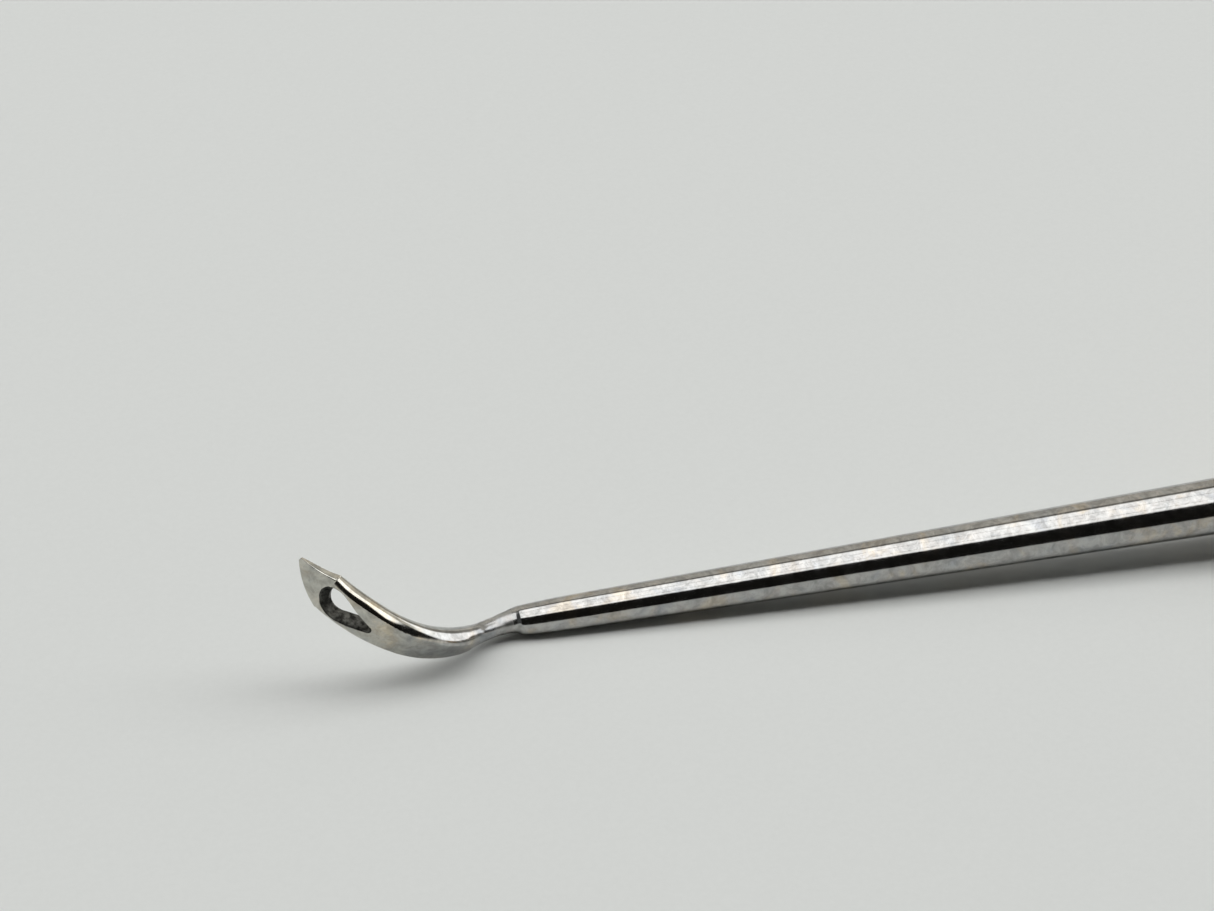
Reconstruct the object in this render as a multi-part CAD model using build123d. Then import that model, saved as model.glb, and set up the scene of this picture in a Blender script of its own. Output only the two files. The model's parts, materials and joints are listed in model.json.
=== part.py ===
"""Eye-pointed cable needle in a collet-chuck handle.

A polished steel needle has a tapering round shank, a waisted neck and a flattened tip that is bent
sideways and upwards, with a long eye behind a spear point. Its plain butt is gripped by a split collet,
which a knurled nut closes. The handle is an eight-sided wooden grip with brass fittings and a screw cap.

Tool frame, in which every piece is drawn: X runs along the tool's axis from the needle to the cap, with
its zero at the front end of the shank, Y points sideways and Z up. Stations are distances along X.
The pieces are then laid down together as the tool rests: on the shank's front end and on one flat of
the grip, with its butt raised by REST_PITCH, and centred over the origin with the floor at Z = 0.
"""

from build123d import *

import os
from math import cos, pi, radians, sin, tan

os.makedirs("parts", exist_ok=True)

# Driving dimensions, in millimetres and degrees ---------------------------------------------------------

REST_PITCH = 3.0  # how far the butt is raised when the tool lies on a table
FLOOR_DROP = 0.95  # from the axis down to the table, at station 0
RUNNING_GAP = 0.04  # radial clearance between pieces that turn or slide on each other
GLUE_GAP = 0.02  # radial clearance between pieces that are glued or pressed together

# Needle
SHANK_FRONT_RADIUS = 1.05
SHANK_TAPER = 0.0166  # growth of radius per millimetre
SHANK_END = 47.5  # here the shank's rear shoulder stops against the collet
BUTT_RADIUS = 1.75
BUTT_END = 80.0
STRIP_WIDTH = 3.3
STRIP_THICKNESS = 0.95
NECK_WIDTH = 1.25
POINT_LENGTH = 2.65
EYE_LENGTH = 3.7
EYE_WIDE_RADIUS = 1.17
EYE_NARROW_RADIUS = 0.25
EYE_OFFSET = 0.08  # sideways, towards the lower edge of the strip
EYE_START = 2.8  # from the point to the near end of the eye, along the strip

# The bent tip's centre line, from inside the shank to the point
BEND = [
    (1.2, 0.0, 0.0),
    (-1.3, -0.25, 0.15),
    (-4.05, -1.8, 0.85),
    (-7.8, -3.25, 3.25),
    (-10.25, -2.6, 5.15),
    (-11.85, -1.3, 6.4),
    (-13.0, 0.0, 7.9),
]
STRIP_UP = Vector(0.41, -0.28, 0.87)  # the way that the strip's width points

# Chuck
NUT_FRONT = 49.5
NUT_END = 63.5
NUT_RADIUS = 3.87
NUT_NOSE_RADIUS = 2.95
NUT_LIP = 0.9
NUT_SHOULDER = 54.0  # here the nose cone meets the plain band
NUT_BAND_RADIUS = 3.68
NUT_RIDGES = 32
THREAD_RADIUS = 3.1
RING_END = 56.8
RING_SHOULDER = 53.6
RING_RADIUS = 3.3
RING_NOSE_RADIUS = 2.6
COLLET_NOSE_RADIUS = 2.05
COLLET_HEEL_RADIUS = 2.75
COLLET_HEEL = 56.4
COLLET_TAIL_RADIUS = 2.3
COLLET_END = 71.0
COLLET_SLITS = 4
SLIT_WIDTH = 0.4
SPINDLE_FRONT = 57.6
COLLAR_START = 64.2
COLLAR_END = 65.8
TANG_RADIUS = 3.0
TANG_END = 88.0

# Handle
FERRULE_END = 73.4
FERRULE_RADIUS = 4.25
FERRULE_WALL = 0.5
GRIP_WIDEST = 111.0
GRIP_END = 119.6
GRIP_SIDES = 8
GRIP_CORNER = 1.055  # how far the grip's softened corners stand out, as a share of its flats
PIN_STATION = 84.5
PIN_RADIUS = 0.8
TUBE_WALL = 0.4
BUSH_START = 108.0
BUSH_RADIUS = 4.1
CAP_SPIGOT_RADIUS = 3.2
CAP_SPIGOT_START = 110.5
CAP_RADIUS = 5.3
CAP_END = 126.5
CAP_RIDGES = 36
SEAL_CENTRE_RADIUS = 3.7
SEAL_SECTION_RADIUS = 0.45


def shank_radius(station):
    """The tapering shank's radius."""
    return SHANK_FRONT_RADIUS + SHANK_TAPER * station


def flat_height(station):
    """Half the grip's width over its flats, which puts one flat on the table."""
    return FLOOR_DROP + station * tan(radians(REST_PITCH))


def turned(*corners):
    """A solid turned about the tool's axis, from corners given as (station, radius)."""
    outline = Polyline(*[(station, 0, radius) for station, radius in corners], close=True)
    return revolve(make_face(outline), axis=Axis.X)


def rod(start, end, radius):
    """A plain round rod on the tool's axis."""
    return turned((start, 0), (end, 0), (end, radius), (start, radius))


def ridged(body, start, end, radius, ridges, depth):
    """The body with straight V grooves cut round it, which leaves ridges for the fingers."""
    half_width = 0.8 * pi * radius / ridges
    corners = [(0, radius - depth), (-half_width, radius + depth), (half_width, radius + depth)]
    groove = make_face(Polyline(*corners, close=True))
    cutter = extrude(Plane(origin=(start, 0, 0), x_dir=(0, 1, 0), z_dir=(1, 0, 0)) * groove, end - start)
    return body - [Rot(X=360 * i / ridges) * cutter for i in range(ridges)]


# Needle --------------------------------------------------------------------------------------------------


def strip_plane(path, along):
    """The plane across the bent strip at a distance along its centre line, with X along its width."""
    ahead = path % (along / path.length)
    up = STRIP_UP - ahead * STRIP_UP.dot(ahead)
    return Plane(origin=path @ (along / path.length), x_dir=up.normalized(), z_dir=ahead)


def strip_section(path, along, width, thickness):
    """One rounded cross-section of the bent strip."""
    corner = 0.46 * min(width, thickness)
    return strip_plane(path, along) * RectangleRounded(width, thickness, corner)


def bent_tip():
    """Neck and bent strip as one smooth skin, and the flat spear point, with the eye cut through."""
    path = Spline(*BEND, tangents=[(-1, 0, 0), (-0.45, 0.65, 0.62)])
    front = 2 * SHANK_FRONT_RADIUS
    shoulder = path.length - POINT_LENGTH
    sections = [
        (0.0, 0.92 * front, 0.92 * front),
        (1.2, 0.83 * front, 0.83 * front),
        (2.0, 0.69 * front, 0.7 * front),
        (3.0, NECK_WIDTH, NECK_WIDTH),
        (4.2, 1.04 * NECK_WIDTH, 1.02 * NECK_WIDTH),
        (6.0, 0.54 * STRIP_WIDTH, 1.6 * STRIP_THICKNESS),
        (8.0, 0.73 * STRIP_WIDTH, 1.9 * STRIP_THICKNESS),
        (10.0, 0.84 * STRIP_WIDTH, 1.85 * STRIP_THICKNESS),
        (13.0, 0.95 * STRIP_WIDTH, 1.2 * STRIP_THICKNESS),
        (shoulder, 1.01 * STRIP_WIDTH, 0.93 * STRIP_THICKNESS),
    ]
    facets = [
        (shoulder, 1.01 * STRIP_WIDTH, 0.93 * STRIP_THICKNESS),
        (path.length, 0.03 * STRIP_WIDTH, 0.08 * STRIP_THICKNESS),
    ]
    strip = loft([strip_section(path, *section) for section in sections])
    point = loft([strip_section(path, *facet) for facet in facets], ruled=True)
    return strip + point - eye(path)


def eye(path):
    """The cutter for the teardrop eye, wide behind the point and narrow towards the neck."""
    reach = EYE_LENGTH - EYE_WIDE_RADIUS - EYE_NARROW_RADIUS
    across = strip_plane(path, path.length - EYE_START - EYE_LENGTH / 2)
    face = Plane(origin=across.origin, x_dir=-across.z_dir, z_dir=across.y_dir)
    wide = Pos(-reach / 2, EYE_OFFSET) * Circle(EYE_WIDE_RADIUS)
    narrow = Pos(reach / 2, EYE_OFFSET) * Circle(EYE_NARROW_RADIUS)
    drop = make_hull([*wide.edges(), *narrow.edges()])
    return extrude(face * drop, 2 * STRIP_THICKNESS, both=True)


def needle():
    shank = turned(
        (0, 0),
        (0, 0.72 * SHANK_FRONT_RADIUS),
        (0.3, 0.87 * SHANK_FRONT_RADIUS),
        (1.0, 0.95 * SHANK_FRONT_RADIUS),
        (2.6, shank_radius(2.6)),
        (SHANK_END, shank_radius(SHANK_END)),
        (SHANK_END, BUTT_RADIUS),
        (BUTT_END - 0.5, BUTT_RADIUS),
        (BUTT_END, BUTT_RADIUS - 0.5),
        (BUTT_END, 0),
    )
    return shank + bent_tip()


# Chuck ---------------------------------------------------------------------------------------------------


def collet():
    """A tube with a conical nose, slit from the front into jaws that spring."""
    nose = SHANK_END + RUNNING_GAP
    body = turned(
        (nose, 0),
        (nose, COLLET_NOSE_RADIUS),
        (NUT_FRONT + NUT_LIP, COLLET_NOSE_RADIUS),
        (COLLET_HEEL, COLLET_HEEL_RADIUS),
        (COLLET_HEEL + 0.4, COLLET_TAIL_RADIUS),
        (COLLET_END, COLLET_TAIL_RADIUS),
        (COLLET_END, 0),
    )
    slit_end = COLLET_END - 5
    slit = Pos((nose + slit_end) / 2, 0, 0) * Box(slit_end - nose + 1, SLIT_WIDTH, 2 * RING_RADIUS)
    slits = [Rot(X=360 * i / COLLET_SLITS + 45) * slit for i in range(COLLET_SLITS // 2)]
    return body - rod(0, BUTT_END, BUTT_RADIUS + GLUE_GAP) - slits


def closing_ring():
    """The hardened ring whose inner cone squeezes the collet, and which doesn't turn with the nut."""
    start = NUT_FRONT + NUT_LIP + RUNNING_GAP
    slope = (COLLET_HEEL_RADIUS - COLLET_NOSE_RADIUS) / (COLLET_HEEL - NUT_FRONT - NUT_LIP)
    mouth = COLLET_NOSE_RADIUS + RUNNING_GAP + slope * RUNNING_GAP
    return turned(
        (start, mouth),
        (start, RING_NOSE_RADIUS - RUNNING_GAP),
        (RING_SHOULDER, RING_RADIUS - RUNNING_GAP),
        (RING_END, RING_RADIUS - RUNNING_GAP),
        (RING_END, COLLET_HEEL_RADIUS + RUNNING_GAP),
        (COLLET_HEEL, COLLET_HEEL_RADIUS + RUNNING_GAP),
    )


def chuck_nut():
    """The knurled nut with a conical nose, whose lip pulls the ring over the collet."""
    knurl_start = NUT_END - 6.5
    body = turned(
        (NUT_FRONT, 0),
        (NUT_FRONT, NUT_NOSE_RADIUS - 0.3),
        (NUT_FRONT + 0.3, NUT_NOSE_RADIUS),
        (NUT_SHOULDER, NUT_BAND_RADIUS),
        (knurl_start - 0.3, NUT_BAND_RADIUS),
        (knurl_start - 0.3, NUT_BAND_RADIUS - 0.12),
        (knurl_start, NUT_BAND_RADIUS - 0.12),
        (knurl_start + 0.3, NUT_RADIUS),
        (NUT_END - 0.35, NUT_RADIUS),
        (NUT_END, NUT_RADIUS - 0.35),
        (NUT_END, 0),
    )
    body = ridged(body, knurl_start - 0.1, NUT_END + 0.1, NUT_RADIUS, NUT_RIDGES, 0.14)
    mouth = rod(NUT_FRONT - 1, NUT_END, COLLET_NOSE_RADIUS + 2 * RUNNING_GAP)
    pocket = turned(
        (NUT_FRONT + NUT_LIP, 0),
        (NUT_FRONT + NUT_LIP, RING_NOSE_RADIUS),
        (RING_SHOULDER, RING_RADIUS),
        (RING_END + RUNNING_GAP, RING_RADIUS),
        (RING_END + RUNNING_GAP, 0),
    )
    thread = rod(RING_END, NUT_END + 1, THREAD_RADIUS + RUNNING_GAP)
    return body - mouth - pocket - thread


def spindle():
    """The chuck's body: a threaded front, a collar and a tang that runs into the grip."""
    body = turned(
        (SPINDLE_FRONT, 0),
        (SPINDLE_FRONT, THREAD_RADIUS - 0.3),
        (SPINDLE_FRONT + 0.3, THREAD_RADIUS),
        (COLLAR_START, THREAD_RADIUS),
        (COLLAR_START, FERRULE_RADIUS - 0.45),
        (COLLAR_START + 0.3, FERRULE_RADIUS - 0.15),
        (COLLAR_END, FERRULE_RADIUS - 0.15),
        (COLLAR_END, TANG_RADIUS),
        (TANG_END - 0.5, TANG_RADIUS),
        (TANG_END, TANG_RADIUS - 0.5),
        (TANG_END, 0),
    )
    collet_seat = rod(SPINDLE_FRONT - 1, COLLET_END + 0.1, COLLET_TAIL_RADIUS + RUNNING_GAP)
    butt_bore = rod(SPINDLE_FRONT - 1, BUTT_END + 0.5, BUTT_RADIUS + RUNNING_GAP)
    return body - collet_seat - butt_bore - cross_rod(PIN_RADIUS)


# Handle --------------------------------------------------------------------------------------------------


def cross_rod(radius):
    """A long rod across the tool where the tang is pinned."""
    return Pos(PIN_STATION, 0, 0) * Rot(X=90) * Cylinder(radius, 30)


def front_ferrule():
    """The brass sleeve that keeps the grip's front end from splitting."""
    spigot = FERRULE_RADIUS - FERRULE_WALL
    return turned(
        (COLLAR_END, spigot),
        (COLLAR_END, FERRULE_RADIUS - 0.2),
        (COLLAR_END + 0.2, FERRULE_RADIUS),
        (FERRULE_END - 0.3, FERRULE_RADIUS),
        (FERRULE_END, FERRULE_RADIUS - 0.2),
        (FERRULE_END, spigot),
    )


def outside_flats():
    """What lies outside the grip's tapering flats, one of which faces down and rests on the table."""
    depth = 20
    below = Pos(0, 0, -flat_height(0)) * Rot(Y=REST_PITCH) * Pos(0, 0, -depth / 2) * Box(300, 60, depth)
    return [Rot(X=360 * side / GRIP_SIDES) * below for side in range(GRIP_SIDES)]


def grip():
    """Eight-sided stock turned down at both ends, and bored for the tang, the tube and the bush."""
    spigot = FERRULE_RADIUS - FERRULE_WALL - GLUE_GAP
    belly = GRIP_CORNER * flat_height(GRIP_WIDEST)
    front = GRIP_CORNER * flat_height(FERRULE_END + 5)
    outline = [
        Line((FERRULE_END, 0, 0), (FERRULE_END, 0, FERRULE_RADIUS)),
        Spline(
            (FERRULE_END, 0, FERRULE_RADIUS),
            (FERRULE_END + 5, 0, front),
            tangents=[(1, 0, 0.5), (1, 0, GRIP_CORNER * tan(radians(REST_PITCH)))],
        ),
        Line((FERRULE_END + 5, 0, front), (GRIP_WIDEST, 0, belly)),
        Spline(
            (GRIP_WIDEST, 0, belly),
            (GRIP_END, 0, CAP_RADIUS),
            tangents=[(1, 0, GRIP_CORNER * tan(radians(REST_PITCH))), (0.5, 0, -1)],
        ),
        Line((GRIP_END, 0, CAP_RADIUS), (GRIP_END, 0, 0)),
        Line((GRIP_END, 0, 0), (FERRULE_END, 0, 0)),
    ]
    body = revolve(make_face(outline), axis=Axis.X) - outside_flats()
    body += rod(COLLAR_END, FERRULE_END, spigot)
    body -= rod(COLLAR_END - 1, GRIP_END + 1, TANG_RADIUS + GLUE_GAP)
    body -= rod(BUSH_START, GRIP_END + 1, BUSH_RADIUS + GLUE_GAP)
    return body - cross_rod(PIN_RADIUS)


def tang_pin():
    """The brass pin through the grip and the tang, filed off flush with two flats."""
    reach = flat_height(PIN_STATION) - 0.06
    return Pos(PIN_STATION, 0, 0) * Rot(X=90) * Cylinder(PIN_RADIUS - GLUE_GAP / 2, 2 * reach)


def storage_tube():
    """The thin tube that lines the grip's hollow between the tang and the bush."""
    tube = rod(TANG_END + 0.1, BUSH_START, TANG_RADIUS)
    return tube - rod(TANG_END - 1, BUSH_START + 1, TANG_RADIUS - TUBE_WALL)


def end_bush():
    """The threaded brass bush that the cap screws into."""
    bush = rod(BUSH_START + 0.1, GRIP_END, BUSH_RADIUS)
    bush -= rod(BUSH_START, CAP_SPIGOT_START - 0.5, TANG_RADIUS - TUBE_WALL)
    return bush - rod(CAP_SPIGOT_START - 0.5, GRIP_END + 1, CAP_SPIGOT_RADIUS + RUNNING_GAP)


def seal(section_radius):
    """A ring of round section round the cap's spigot, lying on the bush's face."""
    station = GRIP_END + SEAL_SECTION_RADIUS + 0.01
    section = Plane.XZ * Pos(station, SEAL_CENTRE_RADIUS) * Circle(section_radius)
    return revolve(section, axis=Axis.X)


def cap_seal():
    return seal(SEAL_SECTION_RADIUS)


def end_cap():
    """The screw cap: a ridged rim, a low dome and a hollow spigot."""
    rim = GRIP_END + 0.3
    body = turned(
        (CAP_SPIGOT_START, 0),
        (CAP_SPIGOT_START, CAP_SPIGOT_RADIUS - 0.3),
        (CAP_SPIGOT_START + 0.3, CAP_SPIGOT_RADIUS),
        (rim, CAP_SPIGOT_RADIUS),
        (rim, CAP_RADIUS - 0.3),
        (rim + 0.3, CAP_RADIUS),
        (rim + 3.4, CAP_RADIUS),
        (rim + 3.7, CAP_RADIUS - 0.3),
        (rim + 3.7, 0),
    )
    body = ridged(body, rim - 0.1, rim + 3.8, CAP_RADIUS, CAP_RIDGES, 0.16)
    dome_height = CAP_END - rim - 3.7
    dome_radius = CAP_RADIUS - 0.5
    dome_outline = [
        Line((rim + 3.7, 0, 0), (rim + 3.7, 0, dome_radius)),
        Spline(
            (rim + 3.7, 0, dome_radius),
            (CAP_END, 0, 0),
            tangents=[(1, 0, -0.15), (0, 0, -1)],
        ),
        Line((CAP_END, 0, 0), (CAP_END - dome_height, 0, 0)),
    ]
    body += revolve(make_face(dome_outline), axis=Axis.X)
    hollow = rod(CAP_SPIGOT_START - 1, rim + 1, CAP_SPIGOT_RADIUS - 0.7)
    return body - hollow - seal(SEAL_SECTION_RADIUS + RUNNING_GAP)


# Laying down and writing ---------------------------------------------------------------------------------


def laid_down(shape):
    """The shape as it lies: butt raised, floor at Z = 0, the tool's length centred over the origin."""
    pitch = radians(REST_PITCH)
    point_x = BEND[-1][0] * cos(pitch) - BEND[-1][2] * sin(pitch)
    cap_x = CAP_END * cos(pitch)
    return Pos(-(point_x + cap_x) / 2, 0, FLOOR_DROP * cos(pitch)) * Rot(Y=-REST_PITCH) * shape


PIECES = [
    needle,
    collet,
    closing_ring,
    chuck_nut,
    spindle,
    front_ferrule,
    grip,
    tang_pin,
    storage_tube,
    end_bush,
    cap_seal,
    end_cap,
]

for piece in PIECES:
    export_step(laid_down(piece()), f"parts/{piece.__name__}.step")
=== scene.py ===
import json
import math

import bmesh
import bpy
import numpy as np
from mathutils import Matrix, Vector


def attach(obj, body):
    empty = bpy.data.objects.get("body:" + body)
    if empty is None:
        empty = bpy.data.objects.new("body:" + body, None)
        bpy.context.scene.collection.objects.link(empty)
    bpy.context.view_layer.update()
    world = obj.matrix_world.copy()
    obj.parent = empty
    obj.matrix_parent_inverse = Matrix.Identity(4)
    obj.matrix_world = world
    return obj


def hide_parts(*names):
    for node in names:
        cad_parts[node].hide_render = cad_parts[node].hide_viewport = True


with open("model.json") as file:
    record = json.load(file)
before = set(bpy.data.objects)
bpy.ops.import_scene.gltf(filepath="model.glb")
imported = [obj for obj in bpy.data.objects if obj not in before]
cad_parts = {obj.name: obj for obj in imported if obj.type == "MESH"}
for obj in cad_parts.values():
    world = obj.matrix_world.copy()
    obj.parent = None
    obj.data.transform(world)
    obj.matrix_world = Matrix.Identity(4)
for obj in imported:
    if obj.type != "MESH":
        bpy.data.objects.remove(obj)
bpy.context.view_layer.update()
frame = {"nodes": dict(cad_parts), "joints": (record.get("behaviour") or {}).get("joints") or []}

# Sizes are in millimetres in the tool's own frame, and turned into metres by MM where a mesh is made.
# The tool's frame comes from the joint that turns the needle: its point is the front end of the shank
# (station 0), its axis runs along the tool towards the cap, and the tool's Y is the row's Y.

MM = 0.001
AIM = next(j for j in frame["joints"] if j["name"] == "needle_aim")
TOOL_X = Vector(AIM["axis"]).normalized()
TOOL_Y = Vector((0, 1, 0))
TOOL_Z = TOOL_X.cross(TOOL_Y)
TOOL_ORIGIN = Vector(AIM["pos_m"])

SHANK_FRONT_RADIUS = 1.05
SHANK_TAPER = 0.0166
SHANK_END = 47.5
BUTT_RADIUS = 1.75
BUTT_END = 80.0
BUTT_CHAMFER = 0.5
LEAD_IN = 1.6  # over this length the shank is drawn in towards the bent tip
LEAD_IN_DEPTH = 0.04

# The bent tip's centre line, from inside the shank to the point
BEND = np.array(
    [
        (1.2, 0.0, 0.0),
        (-1.3, -0.25, 0.15),
        (-4.05, -1.8, 0.85),
        (-7.8, -3.25, 3.25),
        (-10.25, -2.6, 5.15),
        (-11.85, -1.3, 6.4),
        (-13.0, 0.0, 7.9),
    ]
)
BEND_START = np.array((-1.0, 0.0, 0.0))
BEND_END = np.array((-0.45, 0.65, 0.62))
STRIP_UP = np.array((0.41, -0.28, 0.87))
# Distance from inside the shank, and how far the strip is turned there about its length, in degrees
TWIST = [(0.0, 0.0), (5.0, 0.0), (7.5, -8.0), (10.0, -7.0), (13.0, 0.0), (20.0, 0.0)]


# Curves ------------------------------------------------------------------------------------------------


def unit(v):
    """Rows of v, or v itself, at length one."""
    return v / np.linalg.norm(v, axis=-1, keepdims=True)


def cubic_through(knots, points, first, last):
    """Second derivatives of the cubic spline through points at knots, with the end slopes given."""
    n = len(knots)
    h = np.diff(knots)
    slopes = np.diff(points, axis=0) / h[:, None]
    matrix = np.zeros((n, n))
    right = np.zeros((n, 3))
    matrix[0, :2] = 2 * h[0], h[0]
    right[0] = 6 * (slopes[0] - first)
    matrix[-1, -2:] = h[-1], 2 * h[-1]
    right[-1] = 6 * (last - slopes[-1])
    for i in range(1, n - 1):
        matrix[i, i - 1 : i + 2] = h[i - 1], 2 * (h[i - 1] + h[i]), h[i]
        right[i] = 6 * (slopes[i] - slopes[i - 1])
    return np.linalg.solve(matrix, right)


class Bend:
    """The tip's centre line: places and section frames by distance from its start inside the shank."""

    def __init__(self):
        self.knots = np.concatenate([[0], np.cumsum(np.linalg.norm(np.diff(BEND, axis=0), axis=1))])
        self.second = cubic_through(self.knots, BEND, unit(BEND_START), unit(BEND_END))
        self.fine = np.linspace(0, self.knots[-1], 2001)
        steps = np.linalg.norm(np.diff(self.at_knot(self.fine), axis=0), axis=1)
        self.distance = np.concatenate([[0], np.cumsum(steps)])
        self.length = self.distance[-1]

    def at_knot(self, u):
        i = np.clip(np.searchsorted(self.knots, u) - 1, 0, len(self.knots) - 2)
        a, b = self.knots[i], self.knots[i + 1]
        h = (b - a)[:, None]
        p, q = ((b - u) / (b - a))[:, None], ((u - a) / (b - a))[:, None]
        bent = ((p**3 - p) * self.second[i] + (q**3 - q) * self.second[i + 1]) * h**2 / 6
        return p * BEND[i] + q * BEND[i + 1] + bent

    def frames(self, along):
        """Place, width direction and thickness direction at each distance; straight before the start."""
        u = np.interp(along, self.distance, self.fine)
        step = 1e-3
        low, high = np.clip(u - step, 0, self.fine[-1]), np.clip(u + step, 0, self.fine[-1])
        ahead = unit(self.at_knot(high) - self.at_knot(low))
        place = self.at_knot(u) + np.minimum(along, 0)[:, None] * BEND_START
        up = unit(STRIP_UP - ahead * (ahead @ STRIP_UP)[:, None])
        turn = np.radians(smooth_values(along, TWIST))
        up = up * np.cos(turn) + np.cross(ahead, up) * np.sin(turn)
        return place, up, np.cross(ahead, up)


def smooth_values(at, rows):
    """Columns of values at each distance, eased between rows of (distance, value, value, ...)."""
    rows = np.array(rows, float)
    x, y = rows[:, 0], rows[:, 1:]
    h = np.diff(x)[:, None]
    d = np.diff(y, axis=0) / h
    inner = np.where(d[:-1] * d[1:] > 0, 2 * d[:-1] * d[1:] / (d[:-1] + d[1:] + 1e-12), 0)
    slope = np.vstack([d[:1], inner, d[-1:]])
    i = np.clip(np.searchsorted(x, at) - 1, 0, len(x) - 2)
    t = np.clip((at - x[i]) / (x[i + 1] - x[i]), 0, 1)[:, None]
    h = h[i]
    return (
        (1 + 2 * t) * (1 - t) ** 2 * y[i]
        + t * (1 - t) ** 2 * h * slope[i]
        + t**2 * (3 - 2 * t) * y[i + 1]
        + t**2 * (t - 1) * h * slope[i + 1]
    )


# Meshes ------------------------------------------------------------------------------------------------


def placed(points):
    """Tool-frame millimetres as row-frame metres."""
    axes = np.array([TOOL_X, TOOL_Y, TOOL_Z])
    return np.array(TOOL_ORIGIN) + MM * (np.asarray(points) @ axes)


def new_object(name, points, faces):
    """A mesh object from tool-frame points."""
    mesh = bpy.data.meshes.new(name)
    mesh.from_pydata([tuple(p) for p in placed(points)], [], faces)
    mesh.validate()
    mesh.update()
    made = bpy.data.objects.new(name, mesh)
    bpy.context.scene.collection.objects.link(made)
    return made


def skin_faces(rings, around):
    """Quads between neighbouring closed rings of points, and the two end caps."""
    faces = []
    for r in range(rings - 1):
        for k in range(around):
            a, b = r * around + k, r * around + (k + 1) % around
            faces.append((a, b, b + around, a + around))
    faces.append(tuple(reversed(range(around))))
    faces.append(tuple(range((rings - 1) * around, rings * around)))
    return faces


def smooth_with_sharp(obj, degrees):
    """Smooth shading that keeps edges sharper than this angle crisp."""
    obj.data.shade_smooth()
    obj.data.set_sharp_from_angle(angle=math.radians(degrees))


# Needle ------------------------------------------------------------------------------------------------

bend = Bend()
POINT = bend.length

# Distance from inside the shank, half width, half length of the flat faces, depth to the camera side and
# to the far side, depth of the ground face on the camera side, squareness of the edges (2 is round) and
# shift of the section towards its upper edge
SECTIONS = [
    (0.0, 1.03, 0.0, 1.03, 1.03, 1.1, 2.0, 0.0),
    (0.6, 1.0, 0.0, 1.0, 1.0, 1.1, 2.0, 0.0),
    (1.0, 0.95, 0.0, 0.95, 0.97, 1.1, 2.0, 0.01),
    (1.3, 0.9, 0.0, 0.89, 0.95, 1.1, 2.0, 0.02),
    (1.45, 0.82, 0.0, 0.79, 0.93, 1.1, 2.0, 0.02),
    (1.6, 0.75, 0.0, 0.7, 0.91, 1.1, 2.0, 0.01),
    (1.75, 0.71, 0.0, 0.66, 0.88, 1.1, 2.0, 0.0),
    (2.0, 0.69, 0.0, 0.65, 0.8, 1.1, 2.0, 0.0),
    (2.5, 0.65, 0.0, 0.63, 0.7, 1.0, 2.0, -0.01),
    (3.0, 0.62, 0.0, 0.62, 0.62, 1.0, 2.0, -0.03),
    (4.0, 0.63, 0.0, 0.63, 0.63, 0.9, 2.0, -0.08),
    (5.0, 0.74, 0.0, 0.72, 0.7, 0.82, 2.0, 0.0),
    (6.0, 0.87, 0.0, 0.98, 0.8, 0.72, 2.0, 0.07),
    (8.0, 1.12, 0.0, 1.25, 0.95, 0.66, 2.0, 0.1),
    (10.0, 1.34, 0.1, 1.12, 0.95, 0.58, 2.0, 0.08),
    (12.0, 1.47, 0.6, 0.76, 0.75, 0.52, 2.0, 0.04),
    (13.0, 1.55, 1.0, 0.56, 0.62, 0.5, 2.0, 0.0),
    (POINT - 3.4, 1.64, 1.2, 0.48, 0.5, 0.6, 2.0, 0.0),
    (POINT - 2.7, 1.67, 1.23, 0.45, 0.42, 0.6, 2.0, 0.0),
    (POINT - 2.55, 1.62, 1.2, 0.4, 0.2, 0.6, 6.0, 0.06),
    (POINT - 1.2, 0.9, 0.62, 0.3, 0.1, 0.6, 8.0, 0.05),
    (POINT - 0.4, 0.4, 0.2, 0.16, 0.07, 0.6, 8.0, 0.01),
    (POINT, 0.09, 0.02, 0.06, 0.04, 0.6, 8.0, 0.0),
]
AROUND = 144  # points round a section
NO_GROUND_FACE = 9.0  # a depth that no section reaches
ROUND = 2.0
BLUNTED = 0.06  # how much of the point is worn away
# A known fault in the shape: this ring belongs on the butt, but lies past the shoulder, so the skin
# doubles back inside the shank between the two. Half way along the butt, near -62, it would be in order.
MISPLACED_RING = -34.0

EYE_LENGTH = 3.7
EYE_WIDE_RADIUS = 1.17
EYE_NARROW_RADIUS = 0.25
EYE_OFFSET = -0.08  # from the centre line, towards the lower edge
EYE_START = 2.8  # from the point to the near end of the eye
EYE_LEAN = 0.1  # rise of the eye's own axis, for each millimetre towards the point
EYE_RIM = 0.08  # radius of the rounded rim
EYE_SLANT = 0.45  # how much shorter the eye is on the far side, towards the point


def needle_distances():
    """Where the needle's rings are: sparse on the butt, even on the shank and dense on the tip."""
    end = BEND[0][0] - BUTT_END
    chamfer = end + BUTT_CHAMFER
    shoulder = BEND[0][0] - SHANK_END
    edge = 0.02
    butt = [end, (end + chamfer) / 2, chamfer, chamfer + edge, MISPLACED_RING]
    step = [shoulder - edge, shoulder, shoulder + edge]
    shank = np.linspace(shoulder + 0.1, -0.2, 60)
    tip = np.linspace(0, POINT - BLUNTED, 420)
    return np.concatenate([butt, step, shank, tip])


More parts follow.
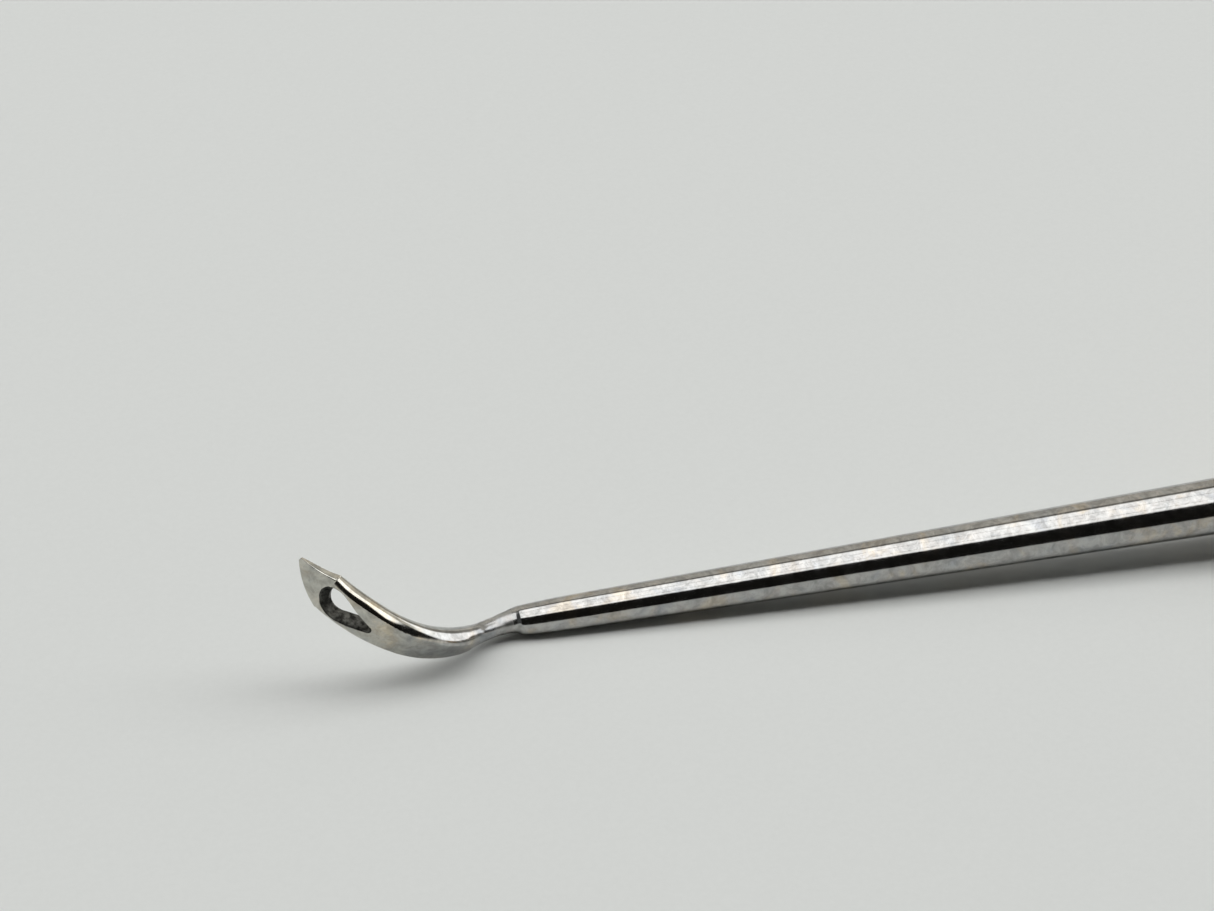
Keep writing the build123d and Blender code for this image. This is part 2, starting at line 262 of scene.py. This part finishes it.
def section_sizes(along):
    """The rows of SECTIONS at each distance, and round sections on the shank."""
    station = BEND[0][0] - along
    shank = SHANK_FRONT_RADIUS + SHANK_TAPER * station
    shank = shank - LEAD_IN_DEPTH * np.clip((LEAD_IN + along) / LEAD_IN, 0, 1) ** 2
    chamfer = np.clip(station - (BUTT_END - BUTT_CHAMFER), 0, BUTT_CHAMFER)
    radius = np.where(station > SHANK_END + 0.01, BUTT_RADIUS - chamfer, shank)
    none = np.zeros_like(radius)
    ground, squareness = none + NO_GROUND_FACE, none + ROUND
    round_section = np.stack([radius, none, radius, radius, ground, squareness, none], 1)
    return np.where((along < 0)[:, None], round_section, smooth_values(along, SECTIONS))


def section_outline(sizes):
    """Points round one section, as widths and depths, with the camera side's depths negative."""
    half_width, flat, near, far, ground, squareness, lift = sizes
    angle = (np.arange(AROUND) + 0.5) * 2 * math.pi / AROUND
    c, s = np.cos(angle), np.sin(angle)
    across = np.sign(c) * np.abs(c) ** (2 / squareness)
    deep = np.sign(s) * np.abs(s) ** (2 / squareness)
    width = lift + across * (half_width - flat) + np.sign(c) * flat
    return width, np.where(deep < 0, np.maximum(deep * near, -ground), deep * far)


def needle_skin():
    """Butt, shank, neck, strip and point as one closed skin."""
    along = needle_distances()
    place, up, across = bend.frames(along)
    rings = []
    for i, sizes in enumerate(section_sizes(along)):
        w, t = section_outline(sizes)
        rings.append(place[i] + np.outer(w, up[i]) + np.outer(t, across[i]))
    return new_object("needle_body", np.concatenate(rings), skin_faces(len(along), AROUND))


def teardrop():
    """The eye's outline as (distance along, width) offsets from its middle, and its outward normals."""
    reach = EYE_LENGTH - EYE_WIDE_RADIUS - EYE_NARROW_RADIUS
    lean = math.asin((EYE_WIDE_RADIUS - EYE_NARROW_RADIUS) / reach)
    outline, normals = [], []
    for centre, radius, start, stop in (
        (reach / 2, EYE_WIDE_RADIUS, -math.pi / 2 - lean, math.pi / 2 + lean),
        (-reach / 2, EYE_NARROW_RADIUS, math.pi / 2 + lean, 3 * math.pi / 2 - lean),
    ):
        for angle in np.linspace(start, stop, 40):
            normal = np.array([math.cos(angle), math.sin(angle)])
            outline.append(np.array([centre, 0]) + radius * normal)
            normals.append(normal)
    return np.array(outline), np.array(normals)


def eye_cutter():
    """A plug in the shape of the eye, flared at both faces so that the rim is rounded."""
    outline, normals = teardrop()
    middle = POINT - EYE_START - EYE_LENGTH / 2
    sizes = section_sizes(middle + outline[:, 0])
    near, far = np.minimum(sizes[:, 2], sizes[:, 4]), sizes[:, 3]
    rings = []
    for side, depths in ((-1, near), (1, far)):
        for part in np.linspace(0, 1, 6)[::side]:
            turn = part * math.pi / 2
            rings.append((side * (depths - EYE_RIM * (1 - math.sin(turn))), EYE_RIM * (1 - math.cos(turn))))
    beyond = 0.5
    rings = [(rings[0][0] - beyond, rings[0][1]), *rings, (rings[-1][0] + beyond, rings[-1][1])]
    points = []
    for depth, flare in rings:
        spot = outline + normals * flare
        through = (depth + near) / (near + far)
        spot[:, 0] -= EYE_SLANT * np.clip(through, 0, 1) * np.clip(normals[:, 0], 0, 1)
        place, up, across = bend.frames(middle + spot[:, 0])
        offset = EYE_OFFSET + EYE_LEAN * spot[:, 0] + spot[:, 1]
        points.append(place + up * offset[:, None] + across * depth[:, None])
    return new_object("eye_cutter", np.concatenate(points), skin_faces(len(points), len(outline)))


def outward(obj):
    """Makes the mesh's faces look outwards."""
    work = bmesh.new()
    work.from_mesh(obj.data)
    bmesh.ops.recalc_face_normals(work, faces=work.faces)
    work.to_mesh(obj.data)
    work.free()


def cut(body, cutter):
    """The body with the cutter's shape taken out of it, as final mesh."""
    outward(body)
    outward(cutter)
    boolean = body.modifiers.new("cut", "BOOLEAN")
    boolean.operation = "DIFFERENCE"
    boolean.solver = "EXACT"
    boolean.material_mode = "TRANSFER"
    boolean.object = cutter
    evaluated = body.evaluated_get(bpy.context.evaluated_depsgraph_get())
    final = bpy.data.meshes.new_from_object(evaluated)
    body.modifiers.clear()
    body.data = final
    bpy.data.objects.remove(cutter)


def make_needle():
    """The needle with its eye, in place of the CAD needle."""
    needle = needle_skin()
    cutter = eye_cutter()
    needle.data.materials.append(tarnished_steel())
    # The eye's walls carry painted shade.
    cutter.data.materials.append(eye_steel_painted_shade())
    cut(needle, cutter)
    smooth_with_sharp(needle, degrees=24)
    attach(needle, "needle_body")
    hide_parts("needle")
    return needle


# Materials ---------------------------------------------------------------------------------------------

PITCH = math.asin(TOOL_X.z)
NECK_START = -0.0002  # stations, in metres, between which the needle's neck is less finely polished
NECK_END = -0.0042
PAINTED_BRIGHT_TIP_START = -0.0045  # from here on the needle's colour is painted brighter, a painted reflection standing in for a lighter floor under the tip, with a slight warm tint
FLAT_AT_FRONT = 0.95  # from the axis to the grip's flats, carried forward to station 0


class Shader:
    """A material whose nodes are added and wired by short calls, in the tool's own frame."""

    def __init__(self, name):
        self.material = bpy.data.materials.new(name)
        self.material.use_nodes = True
        self.tree = self.material.node_tree
        self.shader = self.tree.nodes["Principled BSDF"]
        self.object_place = self.tree.nodes.new("ShaderNodeTexCoord").outputs["Object"]
        self.place = self.sized((1, 1, 1))
        self.station, self.y, self.z = self.split(self.place)

    def set(self, **values):
        """Sets the shader's own sockets; an underscore stands for a space in a socket's name."""
        for name, value in values.items():
            self.shader.inputs[name.replace("_", " ")].default_value = value
        return self

    def sized(self, size):
        """The place in the tool's frame, in units of size metres along, across and up."""
        node = self.tree.nodes.new("ShaderNodeMapping")
        node.vector_type = "TEXTURE"
        node.inputs["Location"].default_value = TOOL_ORIGIN
        node.inputs["Rotation"].default_value = (0, -PITCH, 0)
        node.inputs["Scale"].default_value = size
        self.tree.links.new(self.object_place, node.inputs["Vector"])
        return node.outputs["Vector"]

    def split(self, vector):
        node = self.tree.nodes.new("ShaderNodeSeparateXYZ")
        self.tree.links.new(vector, node.inputs["Vector"])
        return node.outputs["X"], node.outputs["Y"], node.outputs["Z"]

    def math(self, operation, a, b=0.0):
        node = self.tree.nodes.new("ShaderNodeMath")
        node.operation = operation
        self.feed(node.inputs[0], a)
        self.feed(node.inputs[1], b)
        return node.outputs["Value"]

    def radius(self):
        """Distance from the tool's axis, in metres."""
        squares = self.math("ADD", self.math("POWER", self.y, 2.0), self.math("POWER", self.z, 2.0))
        return self.math("SQRT", squares)

    def between(self, start, end):
        """One between two stations, in metres, and nothing outside them."""
        edge = 0.0001
        after = self.span(self.station, start, start + edge)
        before = self.span(self.station, end - edge, end, 1.0, 0.0)
        return self.math("MULTIPLY", after, before)

    def noise(self, scale, detail=3.0, roughness=0.5, vector=None, distortion=0.0):
        node = self.tree.nodes.new("ShaderNodeTexNoise")
        node.inputs["Scale"].default_value = scale
        node.inputs["Detail"].default_value = detail
        node.inputs["Roughness"].default_value = roughness
        node.inputs["Distortion"].default_value = distortion
        self.tree.links.new(vector or self.place, node.inputs["Vector"])
        return node.outputs["Fac"]

    def span(self, value, start, end, low=0.0, high=1.0):
        """The value taken from start..end to low..high, and held there."""
        node = self.tree.nodes.new("ShaderNodeMapRange")
        self.feed(node.inputs["Value"], value)
        for name, number in (("From Min", start), ("From Max", end), ("To Min", low), ("To Max", high)):
            node.inputs[name].default_value = number
        return node.outputs["Result"]

    def ramp(self, value, stops):
        """The colour at this value, between stops of (value, colour)."""
        node = self.tree.nodes.new("ShaderNodeValToRGB")
        ramp = node.color_ramp
        while len(ramp.elements) < len(stops):
            ramp.elements.new(0.5)
        for element, (position, colour) in zip(ramp.elements, stops):
            element.position = position
            element.color = (*colour, 1.0)
        self.tree.links.new(value, node.inputs["Fac"])
        return node.outputs["Color"]

    def mix(self, share, a, b, kind="MIX"):
        """Colour a with this share of colour b, or of what blending them by kind makes."""
        node = self.tree.nodes.new("ShaderNodeMix")
        node.data_type = "RGBA"
        node.blend_type = kind
        for socket, value in ((node.inputs["Factor"], share), (node.inputs["A"], a), (node.inputs["B"], b)):
            self.feed(socket, value)
        return node.outputs["Result"]

    def feed(self, socket, value):
        """Links another node's socket, or sets a colour or a number."""
        if isinstance(value, bpy.types.NodeSocket):
            self.tree.links.new(value, socket)
        elif isinstance(value, tuple):
            socket.default_value = (*value, 1.0)
        else:
            socket.default_value = value

    def colour(self, value):
        self.feed(self.shader.inputs["Base Color"], value)
        return self

    def roughness(self, value):
        self.feed(self.shader.inputs["Roughness"], value)
        return self

    def bump(self, height, distance):
        """Adds surface relief of this depth, in metres."""
        node = self.tree.nodes.new("ShaderNodeBump")
        node.inputs["Strength"].default_value = 1.0
        node.inputs["Distance"].default_value = distance
        self.tree.links.new(height, node.inputs["Height"])
        before = self.shader.inputs["Normal"].links
        if before:
            self.tree.links.new(before[0].from_socket, node.inputs["Normal"])
        self.tree.links.new(node.outputs["Normal"], self.shader.inputs["Normal"])
        return self


def tarnished_steel():
    """Mirror-polished steel with a thin, patchy tarnish, a faint waviness and a painted reflection: the
    tip's colour is raised to stand in for the lighter floor it mirrors.
    """
    steel = Shader("tarnished_steel")
    steel.set(Metallic=1.0)
    patches = steel.noise(1300.0, 5.0, 0.68, distortion=0.5)
    film = steel.noise(520.0, 3.0, 0.55, distortion=0.8)
    tint = steel.ramp(
        film,
        [
            (0.3, (0.36, 0.37, 0.38)),
            (0.44, (0.41, 0.41, 0.4)),
            (0.56, (0.42, 0.41, 0.395)),
            (0.68, (0.465, 0.425, 0.365)),
        ],
    )
    shade = steel.ramp(patches, [(0.36, (0.72, 0.72, 0.72)), (0.62, (1.12, 1.12, 1.12))])
    # Painted reflection: the colour past this station is raised, standing in for the lighter floor that the
    # tip reflects, with a slight warm tint.
    tip = steel.span(steel.station, PAINTED_BRIGHT_TIP_START, PAINTED_BRIGHT_TIP_START - 0.004)
    colour = steel.mix(1.0, tint, shade, "MULTIPLY")
    steel.colour(steel.mix(tip, colour, (1.27, 1.25, 1.16), "MULTIPLY"))
    into = steel.span(steel.station, NECK_END, NECK_START - 0.001)
    out_of = steel.span(steel.station, NECK_START - 0.0004, NECK_START, 1.0, 0.0)
    neck = steel.math("MULTIPLY", into, out_of)
    polish = steel.span(patches, 0.3, 0.7, 0.07, 0.15)
    steel.roughness(steel.math("ADD", polish, steel.math("MULTIPLY", neck, 0.2)))
    steel.bump(steel.noise(2400.0, 2.0), 0.0000012)
    return steel.material


def eye_steel_painted_shade():
    """The eye's walls, rough, with painted shade: their colour is kept near black to stand in for the shade
    inside the eye.
    """
    scale = Shader("eye_steel_painted_shade")
    scale.set(Metallic=1.0)
    wall_mottle = scale.noise(2600.0, 4.0, 0.6)
    # Painted shade: a near-black colour standing in for the shade deep inside the eye.
    scale.colour(scale.ramp(wall_mottle, [(0.38, (0.02, 0.02, 0.018)), (0.62, (0.11, 0.11, 0.1))]))
    scale.roughness(scale.span(wall_mottle, 0.3, 0.7, 0.55, 0.35))
    scale.bump(wall_mottle, 0.00002)
    return scale.material


def rubbed_ridges(brass, base, bottom, top, start, end):
    """Brass browned between its ridges, from this radius to that, and rubbed bright on them."""
    on = brass.between(start, end)
    hollow = brass.span(brass.radius(), bottom, top, 1.0, 0.0)
    worn = brass.math("SUBTRACT", 1.0, brass.math("MULTIPLY", hollow, on))
    base = brass.mix(worn, brass.mix(1.0, base, (0.3, 0.24, 0.2), "MULTIPLY"), base)
    rubbed = brass.math("MULTIPLY", on, brass.math("POWER", worn, 6.0))
    return brass.mix(brass.math("MULTIPLY", rubbed, 0.8), base, (0.78, 0.58, 0.29))


def screw_thread(brass, base, pitch, limit, start, end):
    """Brass with the relief of a screw thread below this radius, and dirt in the thread's root."""
    turn = brass.math("DIVIDE", brass.math("ARCTAN2", brass.z, brass.y), 2 * math.pi)
    phase = brass.math("FRACT", brass.math("SUBTRACT", brass.math("DIVIDE", brass.station, pitch), turn))
    crest = brass.math("MULTIPLY", brass.math("ABSOLUTE", brass.math("SUBTRACT", phase, 0.5)), 2.0)
    below = brass.span(brass.radius(), limit, limit + 0.0001, 1.0, 0.0)
    on = brass.math("MULTIPLY", brass.between(start, end), below)
    root = brass.math("MULTIPLY", on, brass.span(crest, 0.1, 0.5, 0.8, 0.0))
    brass.bump(brass.math("MULTIPLY", crest, on), 0.4 * pitch)
    return brass.mix(root, base, (0.12, 0.07, 0.03))


def turned_brass(name, ridges=None, thread=None):
    """Aged brass with fine turning lines and dark spots.

    ridges and thread give what rubbed_ridges and screw_thread take after the colour, in metres.
    """
    brass = Shader(name)
    brass.set(Metallic=1.0)
    age = brass.noise(450.0, 5.0, 0.6, distortion=0.5)
    base = brass.ramp(
        age,
        [
            (0.3, (0.36, 0.21, 0.085)),
            (0.5, (0.55, 0.36, 0.14)),
            (0.7, (0.66, 0.46, 0.2)),
        ],
    )
    lines = brass.noise(1.0, 3.0, 0.7, vector=brass.sized((0.00011, 0.01, 0.01)))
    spots = brass.span(brass.noise(2600.0, 3.0, 0.6), 0.62, 0.72)
    base = brass.mix(spots, base, (0.16, 0.09, 0.045))
    if ridges:
        base = rubbed_ridges(brass, base, **ridges)
    if thread:
        base = screw_thread(brass, base, **thread)
    brass.colour(base)
    rough = brass.math("ADD", brass.span(age, 0.3, 0.7, 0.34, 0.2), brass.span(lines, 0.3, 0.7, 0.0, 0.1))
    brass.roughness(brass.math("ADD", rough, brass.math("MULTIPLY", spots, 0.2)))
    brass.bump(lines, 0.000004)
    return brass.material


def satin_steel():
    """Grey spring steel, turned and left satin, with a little brown film."""
    steel = Shader("satin_steel")
    steel.set(Metallic=1.0)
    film = steel.noise(700.0, 4.0, 0.6)
    steel.colour(steel.ramp(film, [(0.35, (0.4, 0.38, 0.36)), (0.6, (0.52, 0.52, 0.53))]))
    lines = steel.noise(1.0, 3.0, 0.7, vector=steel.sized((0.0001, 0.01, 0.01)))
    steel.roughness(steel.span(lines, 0.3, 0.7, 0.24, 0.4))
    steel.bump(lines, 0.000003)
    return steel.material


def drawn_aluminium():
    """Pale tube drawn lengthways, with fine scratches along it."""
    metal = Shader("drawn_aluminium")
    metal.set(Metallic=1.0)
    lines = metal.noise(1.0, 3.0, 0.7, vector=metal.sized((0.02, 0.00015, 0.00015)))
    metal.colour(metal.ramp(lines, [(0.3, (0.62, 0.62, 0.63)), (0.7, (0.78, 0.78, 0.78))]))
    metal.roughness(metal.span(lines, 0.3, 0.7, 0.3, 0.45))
    metal.bump(lines, 0.000004)
    return metal.material


def seal_rubber():
    """Black rubber with a grey bloom."""
    rubber = Shader("seal_rubber")
    bloom = rubber.noise(1600.0, 5.0, 0.6)
    rubber.colour(rubber.ramp(bloom, [(0.4, (0.012, 0.012, 0.013)), (0.7, (0.045, 0.044, 0.043))]))
    rubber.roughness(rubber.span(bloom, 0.3, 0.7, 0.45, 0.7))
    rubber.bump(rubber.noise(6000.0, 3.0), 0.000012)
    return rubber.material


RINGS_ACROSS = 900.0  # growth rings to the metre, across the grip and up it
RINGS_UP = 420.0
RING_DRIFT = 2.6  # how many rings the grain wanders by
CORNER_WEAR = (1.035, 1.055)  # radius over the flats' radius, from unworn to rubbed


def oiled_hardwood():
    """Straight-grained reddish hardwood under oil, paler where hands have rubbed its corners."""
    wood = Shader("oiled_hardwood")
    drift = wood.noise(1.0, 3.0, 0.5, vector=wood.sized((0.03, 0.0045, 0.0045)))
    across, up = wood.math("MULTIPLY", wood.y, RINGS_ACROSS), wood.math("MULTIPLY", wood.z, RINGS_UP)
    wander = wood.math("MULTIPLY", drift, RING_DRIFT)
    rings = wood.math("FRACT", wood.math("ADD", wood.math("ADD", across, up), wander))
    fibre = wood.noise(1.0, 5.0, 0.65, vector=wood.sized((0.005, 0.00022, 0.00022)))
    late = wood.span(rings, 0.45, 0.96)
    base = wood.mix(late, (0.30, 0.12, 0.04), (0.13, 0.043, 0.015))
    shade = wood.ramp(fibre, [(0.3, (0.7, 0.68, 0.66)), (0.7, (1.25, 1.24, 1.2))])
    base = wood.mix(1.0, base, shade, "MULTIPLY")
    pores = wood.noise(1.0, 2.0, 0.5, vector=wood.sized((0.0022, 0.00013, 0.00013)))
    pore = wood.span(pores, 0.66, 0.72)
    base = wood.mix(wood.math("MULTIPLY", pore, 0.75), base, (0.05, 0.018, 0.009))
    flat = wood.math("ADD", wood.math("MULTIPLY", wood.station, math.tan(PITCH)), FLAT_AT_FRONT * MM)
    corner = wood.span(wood.math("DIVIDE", wood.radius(), flat), *CORNER_WEAR)
    rubbed = wood.math("MULTIPLY", corner, wood.span(wood.noise(600.0, 4.0, 0.6), 0.35, 0.65))
    base = wood.mix(wood.math("MULTIPLY", rubbed, 0.5), base, (0.46, 0.235, 0.1))
    wood.colour(base)
    wood.set(Coat_Weight=0.25, Coat_Roughness=0.22)
    sheen = wood.span(wood.noise(300.0, 3.0), 0.3, 0.7, 0.34, 0.5)
    wood.roughness(wood.math("ADD", sheen, wood.math("MULTIPLY", pore, 0.3)))
    wood.bump(fibre, 0.00001)
    wood.bump(wood.math("SUBTRACT", 1.0, pore), 0.00003)
    return wood.material


def pale_floor():
    """Matt, pale grey paper with a faint fibre."""
    paper = Shader("pale_floor")
    fine = paper.noise(2600.0, 3.0, 0.6)
    paper.colour(paper.ramp(fine, [(0.3, (0.772, 0.788, 0.764)), (0.7, (0.788, 0.804, 0.78))]))
    paper.set(Roughness=0.8, Specular_IOR_Level=0.0)
    return paper.material


def give(node, material):
    """The CAD node's own mesh shows this material."""
    for slot in frame["nodes"][node].material_slots:
        slot.material = material


# Radii and stations of the ridges and threads, in metres
NUT_RIDGES = {"bottom": 0.00373, "top": 0.00386, "start": 0.0569, "end": 0.0636}
CAP_RIDGES = {"bottom": 0.00514, "top": 0.00529, "start": 0.1199, "end": 0.1237}
SPINDLE_THREAD = {"pitch": 0.0005, "limit": 0.0032, "start": 0.0577, "end": 0.0642}
CAP_THREAD = {"pitch": 0.00125, "limit": 0.0033, "start": 0.1109, "end": 0.1192}


def dress_handle():
    """Every piece but the needle keeps its CAD mesh and gets its material."""
    brass = turned_brass("turned_brass")
    for node in ("front_ferrule", "tang_pin", "end_bush"):
        give(node, brass)
    give("spindle", turned_brass("threaded_brass_spindle", thread=SPINDLE_THREAD))
    give("chuck_nut", turned_brass("knurled_brass_nut", ridges=NUT_RIDGES))
    give("end_cap", turned_brass("ridged_brass_cap", ridges=CAP_RIDGES, thread=CAP_THREAD))
    steel = satin_steel()
    give("collet", steel)
    give("closing_ring", steel)
    give("storage_tube", drawn_aluminium())
    give("cap_seal", seal_rubber())
    give("grip", oiled_hardwood())


# Stage -------------------------------------------------------------------------------------------------

CAMERA_YAW = -10.8
CAMERA_ELEVATION = 38.0
CAMERA_DISTANCE = 0.2
SENSOR = 36.0  # millimetres
VIEW_WIDTH = 0.0759  # across the picture, at the shank's front end
AIM_STATION = 2.5  # the camera looks to the right of this station and above it, by these distances
AIM_RIGHT = 0.00294
AIM_UP = 0.00992


def make_camera():
    """Looks down at the tip from the left front, with the shank running out of the picture."""
    yaw, elevation = math.radians(CAMERA_YAW), math.radians(CAMERA_ELEVATION)
    back = Vector(
        (math.sin(yaw) * math.cos(elevation), -math.cos(yaw) * math.cos(elevation), math.sin(elevation))
    )
    right = (-back).cross(Vector((0, 0, 1))).normalized()
    up = right.cross(-back)
    front_end = Vector(placed([(AIM_STATION, 0, 0)])[0])
    data = bpy.data.cameras.new("camera")
    data.sensor_width = SENSOR
    data.lens = SENSOR * CAMERA_DISTANCE / VIEW_WIDTH
    data.clip_start = 0.01
    data.clip_end = 20
    camera = bpy.data.objects.new("camera", data)
    camera.location = front_end + AIM_RIGHT * right + AIM_UP * up + CAMERA_DISTANCE * back
    camera.rotation_mode = "QUATERNION"
    camera.rotation_quaternion = (-back).to_track_quat("-Z", "Y")
    bpy.context.scene.collection.objects.link(camera)
    bpy.context.scene.camera = camera


def make_floor():
    """A wide flat floor at the level that the tool rests on."""
    reach = 3
    corners = [(-reach, -reach, 0), (reach, -reach, 0), (reach, reach, 0), (-reach, reach, 0)]
    mesh = bpy.data.meshes.new("floor")
    mesh.from_pydata(corners, [], [(0, 1, 2, 3)])
    floor = bpy.data.objects.new("floor", mesh)
    bpy.context.scene.collection.objects.link(floor)
    floor.data.materials.append(pale_floor())


# What the polished parts reflect, by the angle about the tool's length: 0 is the horizon in front, 90
# overhead and 180 the horizon behind. Each entry is an angle in degrees and the brightness there.
LIGHT_BANDS = [
    (0, 0.012),
    (57, 0.012),
    (58.5, 2.15),
    (69.7, 2.15),
    (70.2, 0.5),
    (70.9, 0.5),
    (71.4, 2.15),
    (98.2, 2.15),
    (98.7, 0.4),
    (99.5, 0.4),
    (100.0, 2.15),
    (120, 2.15),
    (122, 0.5),
    (127, 0.15),
    (130, 0.2),
    (133, 0.75),
    (180, 0.6),
]
# What they reflect of the +X side: in its front half by height, where 0 is the horizon and 1 overhead,
# and in its back half by bearing from the front, in degrees, up to where the high back takes over
SIDE_HEIGHTS = [(0.0, 0.9), (0.08, 0.9), (0.13, 0.012), (0.47, 0.012), (0.52, 2.15), (1.0, 2.15)]
SIDE_BEARINGS = [(90, 2.15), (122, 2.15), (128, 0.4), (143, 0.4), (148, 0.93), (180, 0.93)]
HIGH_BACK = 0.75
LOW_END = 0.12  # brightness of the -X end
ROOM_TONE = (1.0, 0.96, 0.87)  # the room round the lights is a little warm
PALE = 0.64  # what the camera itself sees past the floor's edge

# How much of each part shows: the high back by height, the side's back half by bearing in degrees, and the
# +X side and the -X end by lean
HIGH_BACK_SHARE = [(0.32, 0.0), (0.38, 1.0)]
BACK_HALF_SHARE = [(88, 0.0), (94, 1.0)]
SIDE_SHARE = [(0.70, 0.0), (0.76, 1.0)]
LOW_END_SHARE = [(0.17, 1.0), (0.22, 0.0)]

# The soft light itself, as long panels over the tool: where each starts and ends about the tool's
# length, in degrees, and its share of the light
PANELS = [(80, 87.5, 0.26), (87.5, 111, 0.55), (111, 150, 0.16), (150, 172, 0.02), (30, 70, 0.01)]
LEANS = (-46, 0, 46)  # how far each panel's three lengths lean along the tool, in degrees
PANEL_DISTANCE = 1.2
LIGHT_POWER = 17.8


def world_math(tree, operation, a, b):
    """Arithmetic on sockets or numbers in the world's nodes."""
    node = tree.nodes.new("ShaderNodeMath")
    node.operation = operation
    for socket, value in ((node.inputs[0], a), (node.inputs[1], b)):
        if isinstance(value, float):
            socket.default_value = value
        else:
            tree.links.new(value, socket)
    return node.outputs["Value"]


def aim_world(tree):
    """A reflection's direction: its turn about the tool, its bearing from the front, its height and lean.

    Turn and bearing run from 0 to 1 over half a circle, the bearing towards +X, and the lean is 0 at -X
    and 1 at +X.
    """
    direction = tree.nodes.new("ShaderNodeTexCoord").outputs["Generated"]
    split = tree.nodes.new("ShaderNodeSeparateXYZ")
    tree.links.new(direction, split.inputs["Vector"])
    x, y, z = split.outputs["X"], split.outputs["Y"], split.outputs["Z"]
    front = world_math(tree, "MULTIPLY", y, -1.0)
    turn = world_math(tree, "DIVIDE", world_math(tree, "ARCTAN2", z, front), math.pi)
    bearing = world_math(tree, "DIVIDE", world_math(tree, "ARCTAN2", x, front), math.pi)
    lean = world_math(tree, "ADD", world_math(tree, "MULTIPLY", x, 0.5), 0.5)
    return turn, bearing, z, lean


def tone(brightness):
    """White light where it is bright, and the room's warmer tone elsewhere."""
    if brightness >= 1.0:
        return (brightness, brightness, brightness, 1.0)
    return (*(brightness * part for part in ROOM_TONE), 1.0)


def steps(tree, value, stops):
    """The light or the share at this value, between stops of (value, brightness)."""
    node = tree.nodes.new("ShaderNodeValToRGB")
    ramp = node.color_ramp
    while len(ramp.elements) < len(stops):
        ramp.elements.new(0.5)
    for element, (position, brightness) in zip(ramp.elements, stops):
        element.position = position
        element.color = tone(brightness)
    tree.links.new(value, node.inputs["Fac"])
    return node.outputs["Color"]


def over_half_turn(stops):
    """Stops given in degrees, as shares of half a turn."""
    return [(degrees / 180, brightness) for degrees, brightness in stops]


def blended(tree, share, a, b):
    """Light a with this share of light b."""
    node = tree.nodes.new("ShaderNodeMix")
    node.data_type = "RGBA"
    for socket, value in ((node.inputs["Factor"], share), (node.inputs["A"], a), (node.inputs["B"], b)):
        if isinstance(value, tuple):
            socket.default_value = value
        else:
            tree.links.new(value, socket)
    return node.outputs["Result"]


def make_surroundings():
    """What shows in the polished metal: a bright panel overhead, an open dark front and a grey back."""
    world = bpy.data.worlds.new("studio")
    bpy.context.scene.world = world
    world.use_nodes = True
    world.cycles_visibility.diffuse = False
    tree = world.node_tree
    turn, bearing, height, lean = aim_world(tree)
    front = steps(tree, height, SIDE_HEIGHTS)
    back = steps(tree, bearing, over_half_turn(SIDE_BEARINGS))
    back = blended(tree, steps(tree, height, HIGH_BACK_SHARE), back, tone(HIGH_BACK))
    side = blended(tree, steps(tree, bearing, over_half_turn(BACK_HALF_SHARE)), front, back)
    bands = steps(tree, turn, over_half_turn(LIGHT_BANDS))
    colour = blended(tree, steps(tree, lean, SIDE_SHARE), bands, side)
    low_end = (LOW_END, LOW_END, LOW_END, 1.0)
    colour = blended(tree, steps(tree, lean, LOW_END_SHARE), colour, low_end)
    seen = tree.nodes.new("ShaderNodeLightPath").outputs["Is Camera Ray"]
    colour = blended(tree, seen, colour, (PALE, PALE, PALE, 1.0))
    tree.links.new(colour, tree.nodes["Background"].inputs["Color"])


def panel_size(degrees):
    """The width that spans this angle, seen from the tool."""
    return 2 * PANEL_DISTANCE * math.tan(math.radians(degrees / 2))


def make_panels():
    """The soft light, which is left out of the reflections because the surroundings hold them."""
    for start, end, share in PANELS:
        middle = math.radians((start + end) / 2)
        for lean in LEANS:
            name = f"panel_{start:.0f}_{lean}"
            light = bpy.data.lights.new(name, "AREA")
            light.shape = "RECTANGLE"
            light.size = panel_size(LEANS[-1])
            light.size_y = panel_size(end - start)
            light.energy = LIGHT_POWER * share / len(LEANS)
            panel = bpy.data.objects.new(name, light)
            along, up = math.sin(math.radians(lean)), math.cos(math.radians(lean))
            away = Vector((along, -math.cos(middle) * up, math.sin(middle) * up))
            panel.location = PANEL_DISTANCE * away
            panel.rotation_euler = facing(away)
            panel.visible_glossy = False
            bpy.context.scene.collection.objects.link(panel)


def facing(away):
    """Turns a panel's face to the tool, with its length along the tool."""
    across = away.cross(Vector((1, 0, 0))).normalized()
    length = across.cross(away)
    return Matrix((length, across, away)).transposed().to_euler()


make_needle()
dress_handle()
make_floor()
make_surroundings()
make_panels()
make_camera()
bpy.context.scene.view_settings.view_transform = "Standard"
